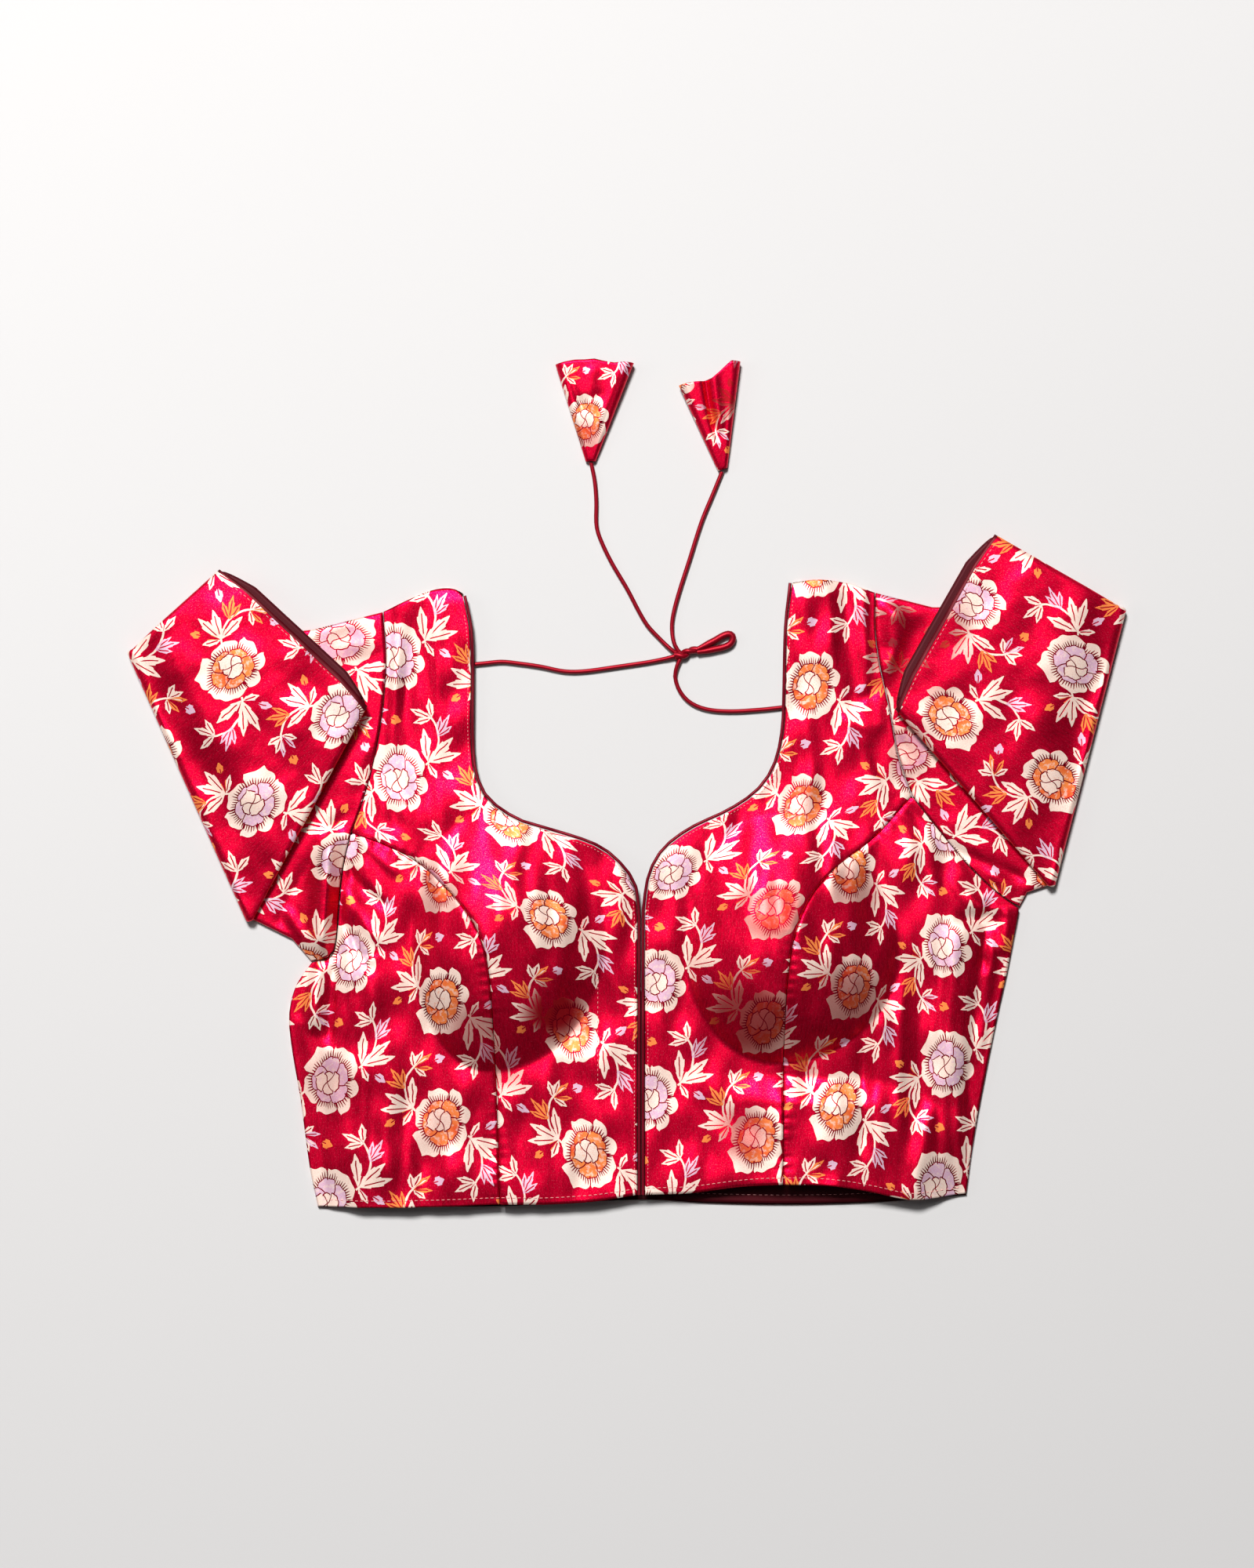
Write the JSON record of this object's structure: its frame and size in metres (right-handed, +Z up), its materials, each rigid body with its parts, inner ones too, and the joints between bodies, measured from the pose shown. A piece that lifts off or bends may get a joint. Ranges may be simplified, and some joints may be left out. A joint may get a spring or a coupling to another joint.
{
  "type": "backless sari blouse laid flat with folded sleeves",
  "caption": "Front-opening backless sari blouse with padded cups, elbow sleeves folded over, and tie cords ending in fabric cones, laid flat.",
  "frame": {"origin": "middle of the blouse's footprint, without its tie cords, on the surface that it lies on", "axes": "+X across the blouse to the right as seen from above with its front up, +Y from the waist hem towards the shoulders, +Z up from the surface"},
  "size_m": [0.6224, 0.5277, 0.033],
  "materials": {
    "brocade": "crimson satin brocade with cream, orange and lilac flowers",
    "facing": "plain maroon lining cloth",
    "piping": "maroon satin piping",
    "cord": "dark red tube cord"
  },
  "bodies": {
    "root": {"back": "brocade", "back_hem_facing": "facing", "front_centre_left": "brocade", "front_centre_right": "brocade", "front_side_left": "brocade", "front_side_right": "brocade", "neck_piping_left": "piping", "neck_piping_right": "piping", "sleeve_left": "brocade", "sleeve_right": "brocade", "sleeve_hem_facing_left": "facing", "sleeve_hem_facing_right": "facing", "dori_left": "cord", "dori_right": "cord", "dori_knot": "cord", "dori_bow_loop": "cord", "dori_tail_left": "cord", "dori_tail_right": "cord", "latkan_left": "brocade", "latkan_right": "brocade"}
  },
  "joints": []
}
